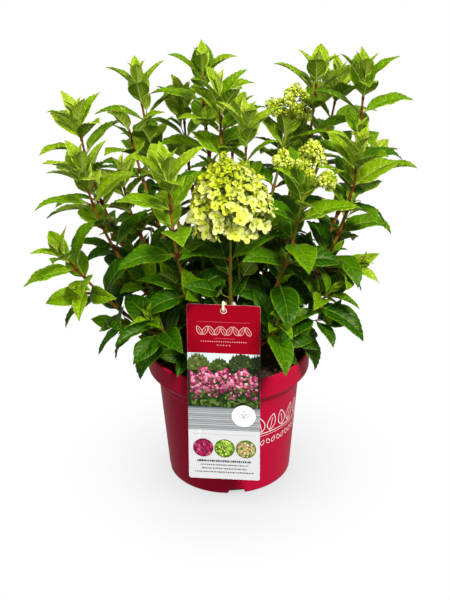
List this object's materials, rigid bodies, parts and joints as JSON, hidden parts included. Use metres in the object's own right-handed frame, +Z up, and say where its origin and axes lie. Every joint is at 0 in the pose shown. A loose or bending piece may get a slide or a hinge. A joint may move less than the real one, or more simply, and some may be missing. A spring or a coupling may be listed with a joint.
{
  "type": "potted panicle hydrangea",
  "caption": "Leafy panicle hydrangea with an open cone of bloom and young flower heads, in a round tapered nursery pot of soil, with a blank-backed label card on a loop.",
  "frame": {"origin": "centre of the pot's flat underside", "axes": "+Z up through the plant; +X to the right of a viewer in front of the label card who looks along +Y"},
  "size_m": [0.5417, 0.4788, 0.6209],
  "materials": {
    "pot": "smooth moulded crimson plastic",
    "soil": "moist dark brown peat crumbs",
    "bark": "thin reddish brown bark",
    "foliage": "green leaves with a soft sheen",
    "card": null,
    "loop": "cream plastic loop"
  },
  "bodies": {
    "root": {"pot": "pot", "soil": "soil", "root_crown": "bark", "label_card": "card", "label_loop": "loop", "stem_front_bloom": "bark", "stem_front_right_buds": "bark", "stem_front_left": "bark", "stem_middle_buds": "bark", "stem_left_low": "bark", "stem_left": "bark", "stem_right_tall": "bark", "stem_right": "bark", "stem_back_right_tall": "bark", "stem_back_left_tall": "bark", "stem_centre_left": "bark", "stem_centre": "bark", "stem_back_left": "bark", "stem_left_upper": "bark", "stem_left_inner": "bark", "stem_left_middle": "bark", "stem_back_upper": "bark", "stem_back_right": "bark", "stem_right_back_low": "bark", "stem_back_low_right": "bark", "stem_back_low": "bark", "stem_back_low_left": "bark", "stem_left_back_low": "bark", "stem_right_low": "bark", "stem_front_right_low": "bark", "stem_front_left_low": "bark", "foliage_front_bloom": "foliage", "foliage_front_right_buds": "foliage", "foliage_front_left": "foliage", "foliage_middle_buds": "foliage", "foliage_left_low": "foliage", "foliage_left": "foliage", "foliage_right_tall": "foliage", "foliage_right": "foliage", "foliage_back_right_tall": "foliage", "foliage_back_left_tall": "foliage", "foliage_centre_left": "foliage", "foliage_centre": "foliage", "foliage_back_left": "foliage", "foliage_left_upper": "foliage", "foliage_left_inner": "foliage", "foliage_left_middle": "foliage", "foliage_back_upper": "foliage", "foliage_back_right": "foliage", "foliage_right_back_low": "foliage", "foliage_back_low_right": "foliage", "foliage_back_low": "foliage", "foliage_back_low_left": "foliage", "foliage_left_back_low": "foliage", "foliage_right_low": "foliage", "foliage_front_right_low": "foliage", "foliage_front_left_low": "foliage"}
  },
  "joints": []
}
